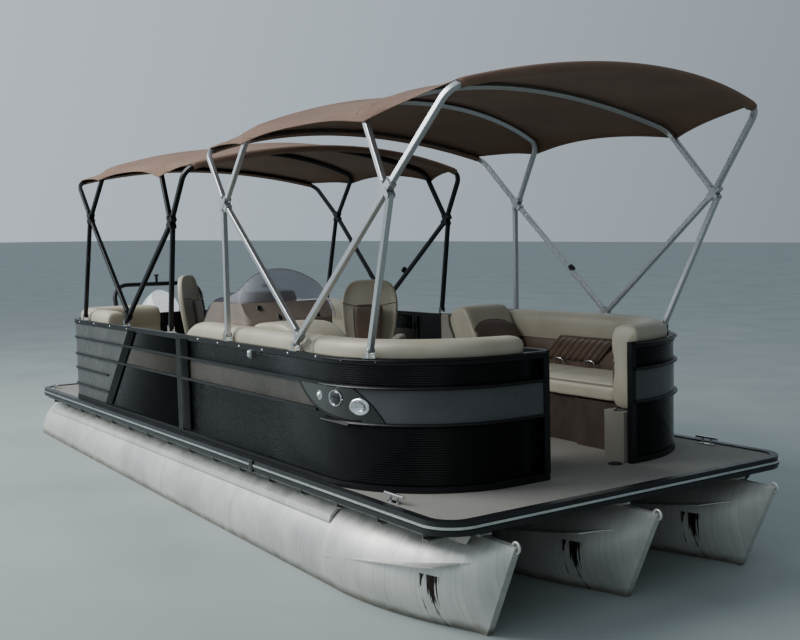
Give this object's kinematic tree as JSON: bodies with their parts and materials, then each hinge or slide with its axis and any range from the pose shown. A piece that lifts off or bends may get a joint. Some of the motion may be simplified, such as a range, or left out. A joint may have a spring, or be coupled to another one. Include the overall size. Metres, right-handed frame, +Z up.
{
  "type": "pontoon boat",
  "caption": "Leisure boat: fenced deck with lounges, helm console and folding sun tops over round aluminium tubes, with a tilting outboard motor at the stern.",
  "frame": {"origin": "middle of the whole boat in plan, on the level of the keels' undersides", "axes": "+X towards the bow, +Y to port, +Z up"},
  "size_m": [7.8322, 2.59, 3.055],
  "materials": {
    "tube_metal": "bare metal, brushed lengthwise, with a dull brown line at the water",
    "frame_metal": "bare mill finish",
    "deck_vinyl": "woven grey vinyl",
    "rail_black": "satin black",
    "rail_insert": "bright",
    "fence_black": "satin black powder coat",
    "skin_black": "gloss black, ribbed",
    "cushion_vinyl": "cream vinyl with fine grain",
    "seat_base": "dark brown moulded plastic",
    "console_gelcoat": "beige gelcoat",
    "console_dark": "black grained",
    "smoked_screen": "smoked acrylic",
    "wheel_black": "soft black",
    "post_metal": "satin",
    "arch_black": "satin black",
    "motor_white": "gloss white paint",
    "cowl_white": "gloss white",
    "bracket_grey": "dark grey paint",
    "propeller_steel": "bare steel",
    "bow_silver": "satin anodised",
    "bow_black": "black powder coat",
    "canopy_cloth": "beige brown acrylic canvas",
    "hinge_steel": "polished",
    "lamp_black": "gloss black bezel",
    "cleat_chrome": "bright"
  },
  "bodies": {
    "hull": {"chair_posts": "post_metal", "chaise_backs": "cushion_vinyl", "clamp_bracket": "bracket_grey", "cleats": "cleat_chrome", "console": "console_gelcoat", "console_hood": "console_dark", "cup_pod": "seat_base", "deck_floor": "deck_vinyl", "deck_frame": "frame_metal", "docking_lights": "lamp_black", "fence_port_aft": "fence_black", "fence_port_fore": "fence_black", "fence_starboard_aft": "fence_black", "fence_starboard_fore": "fence_black", "lounge_back_port": "cushion_vinyl", "lounge_back_starboard": "cushion_vinyl", "lounge_base_port": "seat_base", "lounge_base_starboard": "seat_base", "lounge_seat_port": "cushion_vinyl", "lounge_seat_starboard": "cushion_vinyl", "pontoon_centre": "tube_metal", "pontoon_port": "tube_metal", "pontoon_starboard": "tube_metal", "rub_rail": "rail_black", "rub_rail_strip": "rail_insert", "skin_port": "skin_black", "skin_starboard": "skin_black", "stern_bench_back": "cushion_vinyl", "stern_bench_base": "seat_base", "stern_bench_seat": "cushion_vinyl", "sun_top_hinges": "hinge_steel", "throttle": "console_dark", "tow_bar": "arch_black", "transom": "tube_metal", "windscreen": "smoked_screen"},
    "bow_gate": {"bow_gate": "fence_black"},
    "side_gate": {"side_gate": "fence_black"},
    "stern_gate": {"stern_gate": "fence_black"},
    "steering_wheel": {"steering_wheel": "wheel_black"},
    "helm_chair": {"helm_chair": "cushion_vinyl"},
    "mate_chair": {"mate_chair": "cushion_vinyl"},
    "swivel": {"swivel_bracket": "bracket_grey"},
    "motor": {"outboard_leg": "motor_white", "outboard_cowl": "cowl_white"},
    "propeller": {"propeller": "propeller_steel"},
    "front_bow_fore": {"front_bow_fore": "bow_silver", "front_canopy": "canopy_cloth"},
    "front_short_bow_fore": {"front_short_bow_fore": "bow_silver"},
    "front_legs_fore": {"front_legs_fore": "bow_silver"},
    "front_bow_aft": {"front_bow_aft": "bow_silver"},
    "front_short_bow_aft": {"front_short_bow_aft": "bow_silver"},
    "front_legs_aft": {"front_legs_aft": "bow_silver"},
    "rear_bow_fore": {"rear_bow_fore": "bow_black", "rear_canopy": "canopy_cloth"},
    "rear_short_bow_fore": {"rear_short_bow_fore": "bow_black"},
    "rear_legs_fore": {"rear_legs_fore": "bow_black"},
    "rear_bow_aft": {"rear_bow_aft": "bow_black"},
    "rear_short_bow_aft": {"rear_short_bow_aft": "bow_black"},
    "rear_legs_aft": {"rear_legs_aft": "bow_black"}
  },
  "joints": [
    {"name": "bow_gate_hinge", "type": "hinge", "parent": "hull", "child": "bow_gate", "pos_m": [3.28457, -0.236, 0.77], "axis": [0, 0, 1], "range_deg": [-90, 0]},
    {"name": "side_gate_hinge", "type": "hinge", "parent": "hull", "child": "side_gate", "pos_m": [-0.02843, 1.195, 0.77], "axis": [0, 0, -1], "range_deg": [0, 90]},
    {"name": "stern_gate_hinge", "type": "hinge", "parent": "hull", "child": "stern_gate", "pos_m": [-2.08943, -0.326, 0.77], "axis": [0, 0, -1], "range_deg": [0, 90]},
    {"name": "steering_turn", "type": "hinge", "parent": "hull", "child": "steering_wheel", "pos_m": [0.31257, -0.67, 1.57], "axis": [-0.8829, 0, 0.4695], "range_deg": [-540, 540]},
    {"name": "helm_chair_turn", "type": "hinge", "parent": "hull", "child": "helm_chair", "pos_m": [-0.22743, -0.48, 0.77], "axis": [0, 0, 1], "continuous": true},
    {"name": "mate_chair_turn", "type": "hinge", "parent": "hull", "child": "mate_chair", "pos_m": [0.71757, 0.18, 0.77], "axis": [0, 0, 1], "continuous": true},
    {"name": "motor_tilt", "type": "hinge", "parent": "hull", "child": "swivel", "pos_m": [-3.10743, 0, 0.775], "axis": [0, 1, 0], "range_deg": [-35, 30]},
    {"name": "motor_steer", "type": "hinge", "parent": "swivel", "child": "motor", "pos_m": [-3.2594, 0, 0.74102], "axis": [0.5736, 0, 0.8192], "range_deg": [-30.5, 30.5]},
    {"name": "propeller_spin", "type": "hinge", "parent": "motor", "child": "propeller", "pos_m": [-3.84478, 0, 0.43676], "axis": [0.8192, 0, -0.5736], "continuous": true},
    {"name": "front_top_fold", "type": "hinge", "parent": "hull", "child": "front_bow_fore", "pos_m": [2.24757, 0, 1.526], "axis": [0, -1, 0], "range_deg": [0, 45.3], "deforming": ["front_canopy"]},
    {"name": "front_aft_bow_fold", "type": "hinge", "parent": "front_bow_fore", "child": "front_bow_aft", "pos_m": [2.2759, 0, 1.60148], "axis": [0, -1, 0], "range_deg": [-86.5, 0]},
    {"name": "front_fore_short_fold", "type": "hinge", "parent": "front_bow_fore", "child": "front_short_bow_fore", "pos_m": [3.22703, 0, 2.39078], "axis": [0, -1, 0], "range_deg": [-72.28, 0]},
    {"name": "front_fore_legs_fold", "type": "hinge", "parent": "front_bow_fore", "child": "front_legs_fore", "pos_m": [3.27812, 0, 2.32922], "axis": [0, -1, 0], "range_deg": [-23.28, 0]},
    {"name": "front_aft_short_fold", "type": "hinge", "parent": "front_bow_aft", "child": "front_short_bow_aft", "pos_m": [1.39239, 0, 2.40055], "axis": [0, -1, 0], "range_deg": [0, 72.01]},
    {"name": "front_aft_legs_fold", "type": "hinge", "parent": "front_bow_aft", "child": "front_legs_aft", "pos_m": [1.34075, 0, 2.33945], "axis": [0, -1, 0], "range_deg": [0, 44.6]},
    {"name": "rear_top_fold", "type": "hinge", "parent": "hull", "child": "rear_bow_fore", "pos_m": [-0.56843, 0, 1.526], "axis": [0, -1, 0], "range_deg": [0, 48.3], "deforming": ["rear_canopy"]},
    {"name": "rear_aft_bow_fold", "type": "hinge", "parent": "rear_bow_fore", "child": "rear_bow_aft", "pos_m": [-0.53622, 0, 1.59991], "axis": [0, -1, 0], "range_deg": [-86.07, 0]},
    {"name": "rear_fore_short_fold", "type": "hinge", "parent": "rear_bow_fore", "child": "rear_short_bow_fore", "pos_m": [0.42166, 0, 2.31407], "axis": [0, -1, 0], "range_deg": [-57.64, 0]},
    {"name": "rear_fore_legs_fold", "type": "hinge", "parent": "rear_bow_fore", "child": "rear_legs_fore", "pos_m": [0.46948, 0, 2.24993], "axis": [0, -1, 0], "range_deg": [-41.72, 0]},
    {"name": "rear_aft_short_fold", "type": "hinge", "parent": "rear_bow_aft", "child": "rear_short_bow_aft", "pos_m": [-1.31683, 0, 2.39896], "axis": [0, -1, 0], "range_deg": [0, 86]},
    {"name": "rear_aft_legs_fold", "type": "hinge", "parent": "rear_bow_aft", "child": "rear_legs_aft", "pos_m": [-1.37202, 0, 2.34104], "axis": [0, -1, 0], "range_deg": [0, 56.57]}
  ],
  "couplings": [
    {"joint": "motor_steer", "follows": "steering_turn", "ratio": -0.055556},
    {"joint": "front_aft_bow_fold", "follows": "front_top_fold", "ratio": -1.9009},
    {"joint": "front_fore_short_fold", "follows": "front_top_fold", "ratio": -1.5881},
    {"joint": "front_fore_legs_fold", "follows": "front_top_fold", "ratio": -0.51078},
    {"joint": "front_aft_short_fold", "follows": "front_top_fold", "ratio": 1.5823},
    {"joint": "front_aft_legs_fold", "follows": "front_top_fold", "ratio": 0.97954},
    {"joint": "rear_aft_bow_fold", "follows": "rear_top_fold", "ratio": -1.7738},
    {"joint": "rear_fore_short_fold", "follows": "rear_top_fold", "ratio": -1.1875},
    {"joint": "rear_fore_legs_fold", "follows": "rear_top_fold", "ratio": -0.85933},
    {"joint": "rear_aft_short_fold", "follows": "rear_top_fold", "ratio": 1.7724},
    {"joint": "rear_aft_legs_fold", "follows": "rear_top_fold", "ratio": 1.1656}
  ]
}
